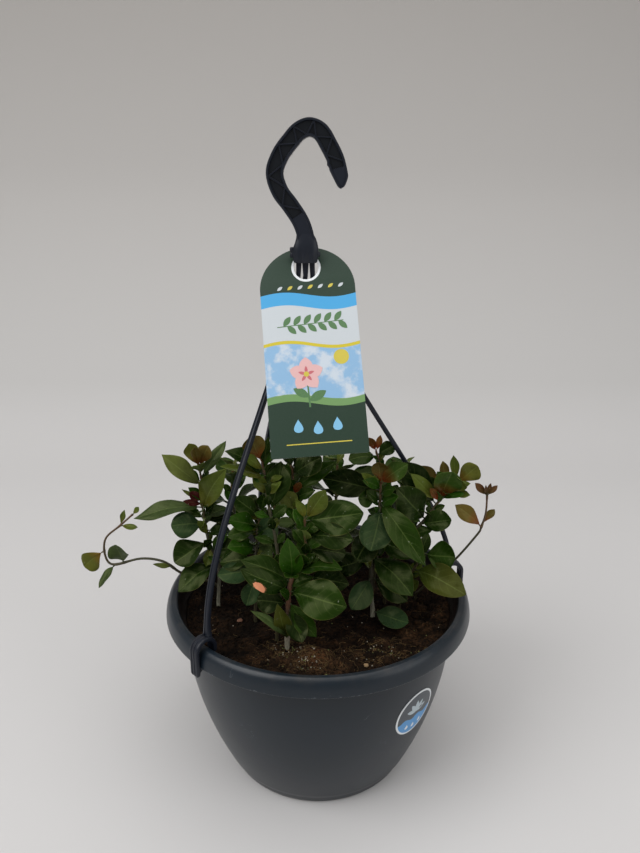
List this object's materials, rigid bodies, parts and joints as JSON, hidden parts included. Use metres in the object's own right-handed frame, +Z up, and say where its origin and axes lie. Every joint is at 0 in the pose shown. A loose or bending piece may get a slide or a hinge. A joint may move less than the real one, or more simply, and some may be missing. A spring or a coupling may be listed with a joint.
{
  "type": "potted mandevilla",
  "caption": "Young mandevilla with glossy leafy shoots in a dark plastic hanging pot, with a hook hanger clipped to the pot's rim, a printed hang tag and a round label.",
  "frame": {"origin": "centre of the pot's flat base", "axes": "+Z up to the hook, +Y away from a viewer who faces the hang tag, +X to that viewer's right"},
  "size_m": [0.3695, 0.2704, 0.5524],
  "materials": {
    "pot_plastic": "satin anthracite injection moulding",
    "reservoir_plastic": "plain dark moulding",
    "potting_soil": "moist brown peat with light grit",
    "hanger_plastic": "satin anthracite injection moulding",
    "tag_card": "printed plastic card, soft sheen",
    "label_film": "printed film",
    "foliage": "glossy leathery leaf, paler below"
  },
  "bodies": {
    "root": {"pot": "pot_plastic", "reservoir_insert": "reservoir_plastic", "potting_soil": "potting_soil", "hanger_hook": "hanger_plastic", "hanger_leg_front_left": "hanger_plastic", "hanger_leg_right": "hanger_plastic", "hanger_leg_back_left": "hanger_plastic", "hang_tag": "tag_card", "pot_label": "label_film", "shoot_left_tall": "foliage", "vine_left": "foliage", "shoot_front_left_tall": "foliage", "shoot_front_left_low": "foliage", "shoot_front_main": "foliage", "shoot_centre": "foliage", "shoot_right_front": "foliage", "shoot_right_back_tall": "foliage", "shoot_right_main": "foliage", "shoot_right_low": "foliage", "sprig_right": "foliage", "shoot_far_left": "foliage", "shoot_far_left_low": "foliage", "shoot_far_centre": "foliage", "shoot_far_middle": "foliage", "shoot_far_right": "foliage"}
  },
  "joints": []
}
